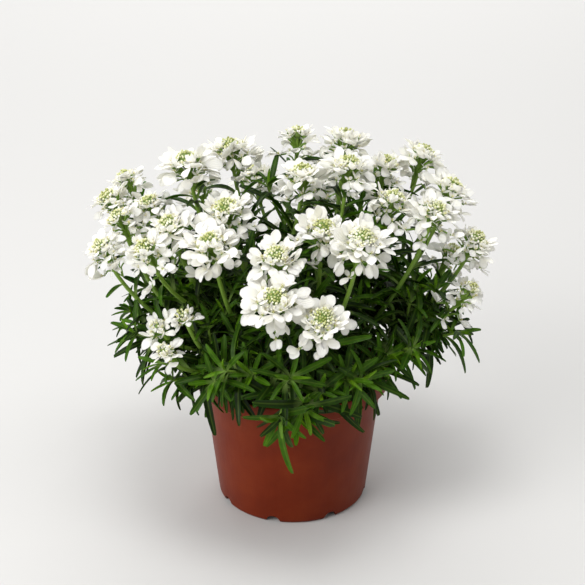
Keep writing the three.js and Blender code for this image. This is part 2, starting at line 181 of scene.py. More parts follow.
plastic = add(tree, "ShaderNodeBsdfPrincipled", {
    "Base Color": dusty.outputs[2], "Roughness": sheen_break, "IOR": 1.49, "Normal": bump,
    "Specular IOR Level": 0.12,
})
add(tree, "ShaderNodeOutputMaterial", {"Surface": plastic})

pot_shape = bmesh.new()
pot_rings = [ring_about_z(pot_shape, r * 0.001, POT_SIDES, lambda x, y, z=z: z * 0.001)
             for r, z in rounded(POT_PROFILE_MM, POT_CORNER_MM)]
pot_body = in_scene("pot_body", made_mesh("pot_body", skinned(pot_shape, pot_rings)))
arches = bmesh.new()
for k in range(NOTCH_COUNT):
    turn = math.radians(FIRST_NOTCH_DEGREES + 360 / NOTCH_COUNT * k)
    outward = Vector((math.cos(turn), math.sin(turn), 0))
    sideways = Vector((-math.sin(turn), math.cos(turn), 0))
    ends = []
    for reach in NOTCH_REACH_MM:
        corners = []
        for i in range(NOTCH_SIDES):
            share = 2 * math.pi * i / NOTCH_SIDES
            aside = sideways * NOTCH_HALF_WIDTH_MM * 0.001 * math.cos(share)
            upward = Vector((0, 0, NOTCH_HEIGHT_MM * 0.001 * math.sin(share)))
            corners.append(arches.verts.new(outward * (reach * 0.001) + aside + upward))
        arches.faces.new(corners)
        ends.append(corners)
    skinned(arches, ends)
notch_cutter = in_scene("notch_cutter", made_mesh("notch_cutter", arches))
cut = pot_body.modifiers.new("Notches", "BOOLEAN")
cut.object = notch_cutter
cut.solver = "EXACT"
pot_mesh = smoothed(evaluated_mesh(pot_body))
bpy.data.objects.remove(notch_cutter)
pot_mesh.materials.clear()
pot_mesh.materials.append(polypropylene)
pot = shown("nursery_pot", pot_mesh)
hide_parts("pot")

# Potting soil
# Damp peat-based compost, filled loose and settled 10 mm below the rim. Crumbs of peat and some white perlite
# lie on top. Sizes from here on are in metres, and heights are above the floor.
SOIL_SIDES = 72
SOIL_RINGS = 20
SOIL_RADIUS = 0.0536
SOIL_TOP = 0.0778
SOIL_FOOT = ((0.0464, 0.0062), (0.0445, 0.0046), (0, 0.0046))
WALL_DIP = 0.0012
CRUMB_COUNT = 620
CRUMB_SIZES = {"Crumb size": 0.0012, "Crumbs per square metre": CRUMB_COUNT / (math.pi * SOIL_RADIUS ** 2)}
GROWN_SHARP_DEGREES = 62


def soil_height(x, y):
    wave = math.sin(x * 170 + 1.3) * math.cos(y * 150 - 0.4) + 0.6 * math.sin(x * 390 - y * 310)
    return SOIL_TOP + 0.0011 * wave + 0.0005 * math.sin(x * 900 + y * 700)


soil_shape = bmesh.new()
soil_rings = []
for ring in range(SOIL_RINGS + 1):
    dip = WALL_DIP * (ring / SOIL_RINGS) ** 6
    soil_rings.append(ring_about_z(soil_shape, SOIL_RADIUS * ring / SOIL_RINGS, SOIL_SIDES,
                                   lambda x, y: soil_height(x, y) - dip))
for r, z in SOIL_FOOT:
    soil_rings.append(ring_about_z(soil_shape, r, SOIL_SIDES, lambda x, y: z))
skinned(soil_shape, soil_rings)

# Damp peat: dark, matt and crumbly. Its colour follows the same noise as its bumps, so it is nearly black in
# the hollows between clods of about 2 mm: the peat's own dark tone, with painted shade in the hollows.
peat, tree = bare_material("damp_peat_compost")
where = add(tree, "ShaderNodeTexCoord").outputs["Object"]
clods = add(tree, "ShaderNodeTexNoise", {"Vector": where, "Scale": 420, "Detail": 8, "Roughness": 0.7})
# Painted shade: the colour is darkest where the clods noise is lowest, which are the hollows of the bump.
peat_tone_and_hollow_shade = add(tree, "ShaderNodeValToRGB", {"Fac": clods}, stops=[
    (0.3, "#15100b"), (0.52, "#34251a"), (0.7, "#57402c")])
rough = add(tree, "ShaderNodeBump", {"Height": clods, "Strength": 0.9, "Distance": 0.0012})
crumbly = add(tree, "ShaderNodeBsdfPrincipled", {
    "Base Color": peat_tone_and_hollow_shade, "Roughness": 0.93, "Normal": rough})
add(tree, "ShaderNodeOutputMaterial", {"Surface": crumbly})

# Expanded volcanic glass: small white grains with a matt skin and pits of 0.7 mm.
perlite, tree = bare_material("perlite_grains")
where = add(tree, "ShaderNodeTexCoord").outputs["Object"]
pits = add(tree, "ShaderNodeTexNoise", {"Vector": where, "Scale": 1500, "Detail": 3})
grey = add(tree, "ShaderNodeValToRGB", {"Fac": pits}, stops=[(0.35, "#a8a297"), (0.65, "#dcd8ce")])
pitted = add(tree, "ShaderNodeBump", {"Height": pits, "Strength": 0.6, "Distance": 0.0004})
chalky = add(tree, "ShaderNodeBsdfPrincipled", {
    "Base Color": grey, "Roughness": 0.9, "Normal": pitted})
add(tree, "ShaderNodeOutputMaterial", {"Surface": chalky})


def new_tree(name, sizes, grows_on_mesh=True):
    """An empty node tree with a named number input for each size, and a mesh input if it grows on a mesh."""
    group = bpy.data.node_groups.new(name, "GeometryNodeTree")
    if grows_on_mesh:
        group.interface.new_socket("Geometry", in_out="INPUT", socket_type="NodeSocketGeometry")
    for label, value in sizes.items():
        group.interface.new_socket(label, in_out="INPUT", socket_type="NodeSocketFloat").default_value = value
    group.interface.new_socket("Geometry", in_out="OUTPUT", socket_type="NodeSocketGeometry")
    return group, add(group, "NodeGroupInput").outputs


def grown(mesh, group, sizes):
    """The plain mesh that the node tree makes from the mesh, with the sizes put in by their sockets."""
    carrier = in_scene("carrier", mesh)
    growth = carrier.modifiers.new("Growth", "NODES")
    growth.node_group = group
    for item in group.interface.items_tree:
        if item.in_out == "INPUT" and item.name in sizes:
            growth[item.identifier] = sizes[item.name]
    result = evaluated_mesh(carrier)
    # The bare mesh brings an empty first slot, which no face uses once the tree has set its materials.
    result.materials.pop(index=0)
    return smoothed(result, GROWN_SHARP_DEGREES)


soil_tree, sizes_in = new_tree("crumbled_soil", CRUMB_SIZES)
upward = add(soil_tree, "GeometryNodeInputNormal")
tilt = add(soil_tree, "ShaderNodeVectorMath", {0: upward, 1: (0, 0, 1)}, operation="DOT_PRODUCT")
top_only = add(soil_tree, "FunctionNodeCompare", {0: tilt.outputs["Value"], 1: 0.5}, operation="GREATER_THAN")
scatter = add(soil_tree, "GeometryNodeDistributePointsOnFaces", {
    "Mesh": sizes_in["Geometry"], "Selection": top_only,
    "Density": sizes_in["Crumbs per square metre"], "Seed": 7})
crumb = add(soil_tree, "GeometryNodeMeshIcoSphere", {"Radius": sizes_in["Crumb size"], "Subdivisions": 1})
turns = add(soil_tree, "FunctionNodeRandomValue", {0: (0, 0, 0), 1: (6.28, 6.28, 6.28), "Seed": 8},
            data_type="FLOAT_VECTOR")
stretch = add(soil_tree, "FunctionNodeRandomValue", {0: (0.4, 0.4, 0.35), 1: (1.3, 1.0, 0.9), "Seed": 9},
              data_type="FLOAT_VECTOR")
crumbs = add(soil_tree, "GeometryNodeInstanceOnPoints", {
    "Points": scatter, "Instance": crumb, "Rotation": turns, "Scale": stretch})
white = add(soil_tree, "FunctionNodeRandomValue", {"Probability": 0.07, "Seed": 10}, data_type="BOOLEAN")
marked = add(soil_tree, "GeometryNodeStoreNamedAttribute", {
    "Geometry": crumbs, "Name": "perlite", "Value": white.outputs[3]}, data_type="BOOLEAN", domain="INSTANCE")
both = add(soil_tree, "GeometryNodeJoinGeometry")
soil_tree.links.new(sizes_in["Geometry"], both.inputs[0])
soil_tree.links.new(marked.outputs[0], both.inputs[0])
solid = add(soil_tree, "GeometryNodeRealizeInstances", {"Geometry": both})
dark = add(soil_tree, "GeometryNodeSetMaterial", {"Geometry": solid, "Material": peat})
is_white = add(soil_tree, "GeometryNodeInputNamedAttribute", {"Name": "perlite"}, data_type="BOOLEAN")
pale = add(soil_tree, "GeometryNodeSetMaterial", {
    "Geometry": dark, "Selection": is_white, "Material": perlite})
add(soil_tree, "NodeGroupOutput", {0: pale})
soil = shown("potting_soil", grown(made_mesh("soil_plug", soil_shape), soil_tree, CRUMB_SIZES))
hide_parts("soil")

# Leafy branches
# Eighteen woody stems stand in the soil and fork into green flowering stems and leafy side shoots. Narrow
# keeled leaves sit on them in a spiral, with a star of young leaves at each tip, and each flowering stem ends
# in thin stalks that carry its florets and a dome of unopened buds.
STEM_FOOT_Z = 0.0665
STEM_START_Z = 0.082
CROWN = Vector((0, 0, 0.088))
DOME_LIFT = 0.0036
DOME_TOP_SHARE = 0.68 * 0.165
FORK_SHARE = 0.16
RIM_SHOOTS = 16
SIDE_SHOOTS = 18
SHOOT_REACH = 0.083
TIP_SPACING = 0.023
LEAVING_SHARES = (0.12, 0.24, 0.36, 0.48)
GOLDEN_ANGLE = math.pi * (3 - math.sqrt(5))
STEM, LEAF, YOUNG_LEAF, BUD, BUD_CORE, STALK = range(6)
LEAF_SIZES = {
    "Leaf length": 0.029, "Leaf width": 0.0043, "Leaf thickness": 0.0005, "Leaf arch": 0.22,
    "Leaf fold": 0.36, "Young leaf length": 0.022, "Young leaf width": 0.0041,
    "Young leaf thickness": 0.0005, "Young leaf arch": 0.15, "Young leaf fold": 0.36, "Bud radius": 0.00082}
BLADE_SIZES = {"Length": 0.02, "Width": 0.004, "Thickness": 0.0004, "Arch": 0.2, "Fold": 0.2}
LEAF_SPACING = 0.0038
SHORT_SHOOTS = 2
SHORT_SPACING = 0.0032
MIDDLE_RADIUS = 0.07
CANOPY_DEPTH = 0.008
LOWEST_TIP_IN_FRONT = 0.080
LOWEST_TIP_BEHIND = 0.068
HANGING_BELOW = 0.118
HANGING_Y = -0.07
YOUNG_HEADS = ("flower_head_08", "flower_head_09", "flower_head_10")
STRAY_FLORETS = 5

# The florets of a head stand in tiers. A row holds the tier's name, the head radius for each of its florets,
# how far out they sit as a share of that radius, how high above the head's centre, how steeply their petals
# rise in radians, the petal length as a share of the radius, and how many florets a half-open head has.
FLORET_TIERS = (
    ("upper", 0.0034, (0.38, 0.52), (0, 0.0026), (0.05, 0.7), 0.53, 2),
    ("outer", 0.0025, (0.40, 0.58), (-0.0036, 0.0006), (-0.4, 0.4), 0.64, 4),
    ("lower", 0.0026, (0.40, 0.64), (-0.0090, -0.0030), (-0.8, 0.05), 0.5, 1),
    ("inner", 0.0021, (0.38, 0.50), (0.0006, 0.0034), (-0.15, 0.8), 0.32, 3),
)


def chance(a, b):
    """A steady number from 0 to 1 for each pair of whole numbers."""
    h = ((a + 1) * 374761393 + (b + 1) * 668265263) & 0xFFFFFFFF
    h = ((h ^ (h >> 13)) * 1274126177) & 0xFFFFFFFF
    h ^= h >> 16
    return h / 4294967296


def mix(a, b, share):
    return a + (b - a) * share


def facing(centre):
    """Which way a head looks: away from the crown of the plant, and upwards."""
    return ((centre - CROWN).normalized() * 0.6 + Vector((0, 0, 0.4))).normalized()


def stem_curve(start, way, end, end_way):
    reach = (end - start).length
    return [start, start + way * 0.36 * reach, end - end_way * 0.4 * reach, end]


def on_curve(curve, t):
    a, b, c, d = curve
    return a * (1 - t) ** 3 + b * 3 * t * (1 - t) ** 2 + c * 3 * t * t * (1 - t) + d * t ** 3


def heading(curve, t):
    a, b, c, d = curve
    return ((b - a) * (1 - t) ** 2 + (c - b) * 2 * t * (1 - t) + (d - c) * t * t).normalized()


def marks_on(curve, steps):
    return [on_curve(curve, k / steps) for k in range(steps + 1)]


def curve_length(curve):
    marks = marks_on(curve, 12)
    return sum((b - a).length for a, b in zip(marks, marks[1:]))


def across(way, turn):
    """A direction square to way, turned about it."""
    side = way.orthogonal().normalized()
    return side * math.cos(turn) + way.cross(side) * math.sin(turn)


class Sketch:
    """Lines and points, with what a node tree needs to know to grow a stem, leaf, petal or bud on each."""

    def __init__(self):
        self.rows = []
        self.edges = []

    def point(self, part, place, grow=(0, 1, 0), face=(0, 0, 1), size=(1, 1, 1), tone=0.5, thickness=0):
        self.rows.append((part, tuple(place), tuple(grow), tuple(face), tuple(size), tone, thickness))

    def line(self, part, points, thick_from, thick_to, tone_from, tone_to):
        last = len(points) - 1
        for k, place in enumerate(points):
            if k:
                self.edges.append((len(self.rows) - 1, len(self.rows)))
            share = k / last
            self.point(part, place, tone=mix(tone_from, tone_to, share),
                       thickness=mix(thick_from, thick_to, share))

    def mesh(self, name):
        mesh = bpy.data.meshes.new(name)
        mesh.from_pydata([row[1] for row in self.rows], self.edges, [])
        columns = (("part", "INT", 0), ("grow", "FLOAT_VECTOR", 2), ("face", "FLOAT_VECTOR", 3),
                   ("size", "FLOAT_VECTOR", 4), ("tone", "FLOAT", 5), ("thickness", "FLOAT", 6))
        for label, kind, column in columns:
            layer = mesh.attributes.new(label, kind, "POINT")
            values = np.array([row[column] for row in self.rows]).ravel()
            layer.data.foreach_set("vector" if kind == "FLOAT_VECTOR" else "value", values)
        return mesh


def solids_called(start):
    """The corners of each CAD solid whose name starts so."""
    found = {}
    for name in sorted(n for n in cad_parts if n.startswith(start)):
        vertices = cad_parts[name].data.vertices
        corners = np.empty(len(vertices) * 3)
        vertices.foreach_get("co", corners)
        found[name] = corners.reshape(-1, 3)
    return found


# The solid of a head is a ring with a quarter of its corners round the hole. The search for the head's centre
# starts at the mean of all corners and settles on the middle of those that lie nearest to the head's axis.
head_centres, head_radii = {}, {}
for name, corners in solids_called("flower_head").items():
    corners = np.unique(corners.round(6), axis=0)
    centre = corners.mean(0)
    for _ in range(12):
        way = np.array(facing(Vector(centre)))
        offset = corners - centre
        off_axis = np.linalg.norm(offset - np.outer(offset @ way, way), axis=1)
        nearest = np.argsort(off_axis)[:len(corners) // 4]
        centre = corners[nearest].mean(0) + 0.00015 * way
    head_centres[name] = Vector(centre)
    head_radii[name] = off_axis.max()

branch_corners = solids_called("leafy_branch")
branch_heads = {name: [] for name in branch_corners}


def miss(name, place):
    """How far the place is from the nearest corner of the branch's solid."""
    return np.linalg.norm(branch_corners[name] - np.array(place), axis=1).min()


def nearest_branch(place):
    return min(branch_corners, key=lambda name: miss(name, place))


# A branch's solid holds the bud domes of its own heads, so it is the one nearest to the top of each dome.
for name, centre in head_centres.items():
    dome_top = centre + facing(centre) * (DOME_LIFT + DOME_TOP_SHARE * 2 * head_radii[name])
    branch_heads[nearest_branch(dome_top)].append(name)

# The first flowering stem of a branch is its trunk. The others fork from the trunk, one above the other.
flowering = {}
for name, corners in branch_corners.items():
    low = corners[corners[:, 2] < corners[:, 2].min() + 0.0005]
    foot = Vector((low[:, 0].mean(), low[:, 1].mean(), STEM_START_Z))
    flowering[name] = []
    for i, head in enumerate(branch_heads[name]):
        end = head_centres[head]
        if i:
            trunk = flowering[name][0]
            start, way = on_curve(trunk, FORK_SHARE * i), heading(trunk, FORK_SHARE * i)
        else:
            start, way = foot, Vector((foot.x, foot.y, 0.06)).normalized()
        end_way = (facing(end) + Vector((0, 0, 0.6))).normalized()
        flowering[name].append(stem_curve(start, way, end, end_way))

# A ring of low shoots leans over the rim, lowest and farthest out at the front and the back. Others fill the
# side of the plant in a spiral, where none of those stands near.
shoot_tips = []
for i in range(RIM_SHOOTS):
    turn = 2 * math.pi * (i + 0.3 * chance(i, 3)) / RIM_SHOOTS - math.pi / 2
    reach = mix(0.075, 0.088, chance(i, 5))
    height = mix(0.096, 0.112, chance(i, 4))
    if i % 8:
        reach, height = reach - 0.006, height + 0.018 * abs(math.sin(turn))
    shoot_tips.append(Vector((reach * math.cos(turn), reach * math.sin(turn), height)))
for i in range(SIDE_SHOOTS):
    rise = math.radians(mix(14, 34, (i + 0.5) / SIDE_SHOOTS))
    reach = SHOOT_REACH + mix(-0.008, 0.008, chance(i, 7))
    turn = i * GOLDEN_ANGLE
    tip = CROWN + reach * Vector((
        math.cos(rise) * math.cos(turn), math.cos(rise) * math.sin(turn), math.sin(rise)))
    if all((tip - other).length > TIP_SPACING for other in shoot_tips):
        shoot_tips.append(tip)

# Each shoot leaves the trunk of the branch nearest to its tip, at the height that keeps it closest to the
# branch's solid.
shoots = {name: [] for name in branch_corners}
for tip in shoot_tips:
    owner = nearest_branch(tip)
    outward = (tip - CROWN).normalized()
    end_way = (outward + Vector((0, 0, 0.45))).normalized()
    options = []
    for share in LEAVING_SHARES:
        trunk = flowering[owner][0]
        way = (heading(trunk, share) + outward * 0.9).normalized()
        curve = stem_curve(on_curve(trunk, share), way, tip, end_way)
        options.append((sum(miss(owner, mark) for mark in marks_on(curve, 4)[1:4]), share, curve))
    shoots[owner].append(min(options)[2])


def blade_group(name, outline, rings, sides):
    """A thin closed blade along +Y, face up, whose width follows the outline from its root to its tip."""
    group, sizes_in = new_tree(name, BLADE_SIZES, grows_on_mesh=False)
    rail = add(group, "GeometryNodeCurvePrimitiveLine", {"End": (0, 1, 0)})
    rail = add(group, "GeometryNodeResampleCurve", {"Curve": rail, "Count": rings})
    share = add(group, "GeometryNodeSplineParameter").outputs["Factor"]
    rest = add(group, "ShaderNodeMath", {0: 1.0, 1: share}, operation="SUBTRACT")
    eased = add(group, "ShaderNodeMath", {0: rest, 1: 1.5}, operation="POWER")
    along = add(group, "ShaderNodeMath", {0: 1.0, 1: eased}, operation="SUBTRACT")
    reach = add(group, "ShaderNodeMath", {0: along, 1: sizes_in["Length"]}, operation="MULTIPLY")
    drop = reach
    for factor in (along, sizes_in["Arch"], -1.0):
        drop = add(group, "ShaderNodeMath", {0: drop, 1: factor}, operation="MULTIPLY")
    bent = add(group, "ShaderNodeCombineXYZ", {"Y": reach, "Z": drop})
    rail = add(group, "GeometryNodeStoreNamedAttribute", {"Geometry": rail, "Name": "along", "Value": along})
    curved = add(group, "GeometryNodeSetPosition", {"Geometry": rail, "Position": bent})
    curved = add(group, "GeometryNodeSetCurveNormal", {"Curve": curved}, mode="Z_UP")
    ring = add(group, "GeometryNodeCurvePrimitiveCircle", {"Resolution": sides})
    spot = add(group, "ShaderNodeSeparateXYZ", {0: add(group, "GeometryNodeInputPosition")}).outputs
    half_width, half_thick = (
        add(group, "ShaderNodeMath", {0: sizes_in[label], 1: -0.5}, operation="MULTIPLY")
        for label in ("Width", "Thickness"))
    off_rib = add(group, "ShaderNodeMath", {0: spot["X"]}, operation="ABSOLUTE")
    lift = add(group, "ShaderNodeMath", {0: off_rib, 1: sizes_in["Fold"]}, operation="MULTIPLY")
    lift = add(group, "ShaderNodeMath", {0: lift, 1: half_width}, operation="MULTIPLY")
    side = add(group, "ShaderNodeMath", {0: spot["X"], 1: half_width}, operation="MULTIPLY")
    height = add(group, "ShaderNodeMath", {0: spot["Y"], 1: half_thick, 2: lift}, operation="MULTIPLY_ADD")
    section = add(group, "ShaderNodeCombineXYZ", {"X": side, "Y": height})
    ring = add(group, "GeometryNodeStoreNamedAttribute", {
        "Geometry": ring, "Name": "across", "Value": spot["X"]})
    ring = add(group, "GeometryNodeSetPosition", {"Geometry": ring, "Position": section})
    width = add(group, "ShaderNodeFloatCurve", {"Value": along}, points=outline)
    swept = add(group, "GeometryNodeCurveToMesh", {
        "Curve": curved, "Profile Curve": ring, "Scale": width, "Fill Caps": True})
    add(group, "NodeGroupOutput", {0: swept})
    return group


leaf_blade = blade_group("leaf_blade", [
    (0, 0.4), (0.15, 0.54), (0.4, 0.84), (0.7, 1.0), (0.9, 0.86), (1, 0.4)], 8, 4)
young_blade = blade_group("young_leaf_blade", [
    (0, 0.4), (0.15, 0.52), (0.45, 0.88), (0.72, 1.0), (0.92, 0.78), (1, 0.3)], 7, 4)


def part_is(group, number):
    label = add(group, "GeometryNodeInputNamedAttribute", {"Name": "part"}, data_type="INT")
    return add(group, "FunctionNodeCompare", {2: label, 3: number}, data_type="INT", operation="EQUAL")


def plant_tree(name, sizes, swept, placed):
    """Grows a sketch: a stem of so many sides along the lines of each part in swept, and a copy of a shape on
    the points of each part in placed, each in the part's material."""
    group, sizes_in = new_tree(name, sizes)
    sketch = sizes_in["Geometry"]
    thickness = add(group, "GeometryNodeInputNamedAttribute", {"Name": "thickness"})
    grow, face, size = (
        add(group, "GeometryNodeInputNamedAttribute", {"Name": label}, data_type="FLOAT_VECTOR")
        for label in ("grow", "face", "size"))
    aim = add(group, "FunctionNodeAxesToRotation", {0: grow, 1: face}, primary_axis="Y", secondary_axis="Z")
    joined = add(group, "GeometryNodeJoinGeometry")
    for part, (sides, _) in swept.items():
        own = add(group, "GeometryNodeSeparateGeometry", {0: sketch, 1: part_is(group, part)})
        curve = add(group, "GeometryNodeMeshToCurve", {0: own})
        ring = add(group, "GeometryNodeCurvePrimitiveCircle", {"Resolution": sides})
        tube = add(group, "GeometryNodeCurveToMesh", {
            "Curve": curve, "Profile Curve": ring, "Scale": thickness, "Fill Caps": True})
        group.links.new(tube.outputs[0], joined.inputs[0])
    for part, (shape, _) in placed.items():
        copies = add(group, "GeometryNodeInstanceOnPoints", {
            "Points": sketch, "Selection": part_is(group, part), "Instance": shape(group, sizes_in),
            "Rotation": aim, "Scale": size})
        group.links.new(copies.outputs[0], joined.inputs[0])
    finished = add(group, "GeometryNodeRealizeInstances", {"Geometry": joined})
    for part, (_, material) in {**swept, **placed}.items():
        finished = add(group, "GeometryNodeSetMaterial", {
            "Geometry": finished, "Selection": part_is(group, part), "Material": material})
    add(group, "NodeGroupOutput", {0: finished})
    return group


# Leaf skin: dark green and waxy, so it takes a soft gloss, and mottled in patches of about 4 mm. The midrib
# is a paler line, and young leaves are a fresh yellow-green.
leaf_skin, tree = bare_material("waxy_leaf")
where = add(tree, "ShaderNodeTexCoord").outputs["Object"]
tone, along, across_leaf = (
    add(tree, "ShaderNodeAttribute", attribute_name=label).outputs["Fac"]
    for label in ("tone", "along", "across"))
mottle = add(tree, "ShaderNodeTexNoise", {"Vector": where, "Scale": 230, "Detail": 3})
age = add(tree, "ShaderNodeMath", {0: mottle, 1: 0.34, 2: tone}, operation="MULTIPLY_ADD")
green = add(tree, "ShaderNodeValToRGB", {"Fac": age}, stops=[
    (0.16, "#0a1601"), (0.5, "#182e02"), (0.78, "#385e06"), (1.0, "#6c9418")])
off_rib = add(tree, "ShaderNodeMath", {0: across_leaf}, operation="ABSOLUTE")
rib = add(tree, "ShaderNodeMapRange", {"Value": off_rib, "From Max": 0.3, "To Min": 0.16, "To Max": 0})
ribbed = add(tree, "ShaderNodeMix", {0: rib, 6: green, 7: linear("#84a53c")}, data_type="RGBA")
root = add(tree, "ShaderNodeMapRange", {"Value": along, "From Max": 0.35, "To Min": 0.45, "To Max": 0})
rooted = add(tree, "ShaderNodeMix", {0: root, 6: ribbed.outputs[2], 7: linear("#a3bf6a")}, data_type="RGBA")
waxy = add(tree, "ShaderNodeBsdfPrincipled", {
    "Base Color": rooted.outputs[2], "Roughness": 0.42, "IOR": 1.45, "Specular IOR Level": 0.13,
    "Normal": add(tree, "ShaderNodeBump", {"Height": mottle, "Strength": 0.25, "Distance": 0.0004}),
    "Subsurface Weight": 0.12, "Subsurface Radius": (0.0006, 0.0012, 0.0003), "Subsurface Scale": 1.0})
add(tree, "ShaderNodeOutputMaterial", {"Surface": waxy})

# Stem skin: green above, turning to brown bark near the soil, and roughened by flecks of about 1.4 mm.
stem_skin, tree = bare_material("green_stem_and_bark")
where = add(tree, "ShaderNodeTexCoord").outputs["Object"]
tone = add(tree, "ShaderNodeAttribute", attribute_name="tone").outputs["Fac"]
fleck = add(tree, "ShaderNodeTexNoise", {"Vector": where, "Scale": 700, "Detail": 4})
age = add(tree, "ShaderNodeMath", {0: fleck, 1: 0.2, 2: tone}, operation="MULTIPLY_ADD")
bark = add(tree, "ShaderNodeValToRGB", {"Fac": age}, stops=[
    (0.1, "#54412c"), (0.3, "#4c5926"), (0.62, "#577a24"), (1.0, "#84a63c")])
fibres = add(tree, "ShaderNodeBump", {"Height": fleck, "Strength": 0.4, "Distance": 0.0005})
stalky = add(tree, "ShaderNodeBsdfPrincipled", {
    "Base Color": bark, "Roughness": 0.5, "IOR": 1.45, "Normal": fibres})
add(tree, "ShaderNodeOutputMaterial", {"Surface": stalky})

# Unopened buds: satin beads, yellow-green and whiter where they are about to open, in flecks of about 1 mm.
bud_skin, tree = bare_material("unopened_bud")
where = add(tree, "ShaderNodeTexCoord").outputs["Object"]
tone = add(tree, "ShaderNodeAttribute", attribute_name="tone").outputs["Fac"]
fleck = add(tree, "ShaderNodeTexNoise", {"Vector": where, "Scale": 900, "Detail": 2})
age = add(tree, "ShaderNodeMath", {0: fleck, 1: 0.3, 2: tone}, operation="MULTIPLY_ADD")
bead = add(tree, "ShaderNodeValToRGB", {"Fac": age}, stops=[
    (0.14, "#7b8226"), (0.36, "#b9be74"), (0.62, "#e1e1ba"), (0.92, "#f8f7ec")])
beady = add(tree, "ShaderNodeBsdfPrincipled", {
    "Base Color": bead, "Roughness": 0.45, "IOR": 1.45,
    "Subsurface Weight": 0.15, "Subsurface Radius": (0.0008, 0.0009, 0.0004), "Subsurface Scale": 1.0})
add(tree, "ShaderNodeOutputMaterial", {"Surface": beady})


def shape_of(blade, kind):
    """What puts the blade into a plant's tree, with the sizes that the tree's inputs name for that kind."""
    def shape(group, sizes_in):
        links = {label: sizes_in[f"{kind} {label.lower()}"] for label in BLADE_SIZES}
        return add(group, "GeometryNodeGroup", links, node_tree=blade)
    return shape


def bud_shape(group, sizes_in):
    return add(group, "GeometryNodeMeshUVSphere", {
        "Segments": 6, "Rings": 4, "Radius": sizes_in["Bud radius"]})


def core_shape(group, sizes_in):
    return add(group, "GeometryNodeMeshUVSphere", {"Segments": 12, "Rings": 8})


branch_tree = plant_tree("leafy_branch", LEAF_SIZES, {STEM: (7, stem_skin), STALK: (5, stem_skin)}, {
    LEAF: (shape_of(leaf_blade, "Leaf"), leaf_skin),
    YOUNG_LEAF: (shape_of(young_blade, "Young leaf"), leaf_skin),
    BUD: (bud_shape, bud_skin), BUD_CORE: (core_shape, leaf_skin)})


def florets_of(name):
    """Where each floret of a head sits and faces, tier by tier, then the loose ones that hang below them."""
    number = int(name[-2:])
    centre, radius = head_centres[name], head_radii[name]
    way = facing(centre)
    young = name in YOUNG_HEADS
    found = []
    spread = mix(-0.1, 0.22, chance(number, 31))
    for level, (tier, room, outs, heights, rises, share, young_count) in enumerate(FLORET_TIERS):
        count = young_count if young else max(5, round(radius / room))
        for i in range(count):
            key = number * 50 + i + 13 * len(found)
            turn = 2 * math.pi * (i + mix(-0.4, 0.4, chance(key, 32))) / count + number + 1.3 * level
            out = across(way, turn)
            level_place = centre + out * radius * mix(*outs, chance(key, 33))
            place = level_place + way * mix(*heights, chance(key, 34))
            lift = mix(*rises, chance(key, 35)) + (spread if tier != "inner" else 0)
            reach = radius * share * mix(0.8, 1.12, chance(key, 36)) * (1.3 if young else 1)
            found.append((tier, place, out, way, lift, reach))
    for i in range(0 if young else STRAY_FLORETS):
        key = number * 50 + i
        out = across(way, 2 * math.pi * (i + 0.7 * chance(key, 45)) / STRAY_FLORETS + 1.9 * number)
        out = (out + Vector((0, 0, 0.25))).normalized()
        place = centre - way * mix(0.008, 0.021, chance(key, 46)) + out * mix(0.008, 0.015, chance(key, 47))
        lift = mix(-0.35, 0.3, chance(key, 48))
        found.append(("stray", place, out, (way + out * 0.7).normalized(), lift, 0.0082))
    return found


def under_canopy(place):
    """Whether a leaf tip stays under the flowers, where the plant has them."""
    from_crown = place - CROWN
    way = from_crown.normalized()
    if way.z < 0.3:
        return True
    above = max(head_centres.values(), key=lambda centre: (centre - CROWN).normalized().dot(way))
    return from_crown.length < (above - CROWN).length - CANOPY_DEPTH


def set_leaf(sketch, part, curve, t, k, key, rise, size, tone, stand_off):
    """Leaf number k of a stem: it stands rise away from the stem, and bends and twists a little by chance."""
    way = heading(curve, t)
    out = across(way, k * GOLDEN_ANGLE + key)
    grow = (way * math.cos(rise) + out * math.sin(rise)).normalized()
    face = (way * math.sin(rise) - out * math.cos(rise)).normalized()
    droop = Vector((0, 0, 1)) - grow * grow.z
    face = (face + droop * 0.7).normalized()
    twist = mix(-0.5, 0.5, chance(k, key + 200))
    face = face * math.cos(twist) + grow.cross(face) * math.sin(twist)
    place = on_curve(curve, t) + out * stand_off
    bend = mix(0.3, 2.8, chance(k, key + 90))
    tip = place + (grow - face * 0.2 * bend) * 0.027 * size
    # Only the shoot at the middle of the front hangs far over the rim. A leaf that would do so elsewhere is
    # not set, and neither is one that would rise through the flowers.
    too_low = tip.z < (LOWEST_TIP_IN_FRONT if tip.y < -0.02 else LOWEST_TIP_BEHIND)
    may_hang = tip.y < HANGING_Y and -0.020 < tip.x < 0.030
    if under_canopy(place + grow * 0.018 * size) and (may_hang or not too_low):
        sketch.point(part, place, grow, face, (size, size, bend), tone)


def set_shoot(sketch, curve, key, first_leaf, spacing, leaf_size, star, thick):
    """A leafy shoot: its stem, its leaves from the share first_leaf on, and a star of young leaves."""
    length = curve_length(curve)
    sketch.line(STEM, marks_on(curve, 10), thick, 0.0008, 0.45, 0.85)
    count = round(length * (0.97 - first_leaf) / spacing)
    for k in range(count):
        t = mix(first_leaf, 0.97, (k + 0.5) / count)
        rise = math.radians(mix(76, 50, t) + mix(-14, 14, chance(k, key + 60)))
        size = leaf_size * mix(1.0, 0.85, t) * mix(0.75, 1.15, chance(k, key + 70))
        tone = mix(-0.08, 0.32, chance(k, key + 80)) + 0.32 * t
        set_leaf(sketch, LEAF, curve, t, k, key, rise, size, tone, 0.0008)
    for k in range(star):
        share = (k + 0.5) / star
        rise = math.radians(mix(16, 74, share) + mix(-9, 9, chance(k, key + 150)))
        size = leaf_size * mix(0.5, 1.1, share) * mix(0.82, 1.15, chance(k, key + 130))
        set_leaf(sketch, YOUNG_LEAF, curve, 1.0, k, key + 140, rise, size, mix(0.74, 0.36, share), 0.0004)


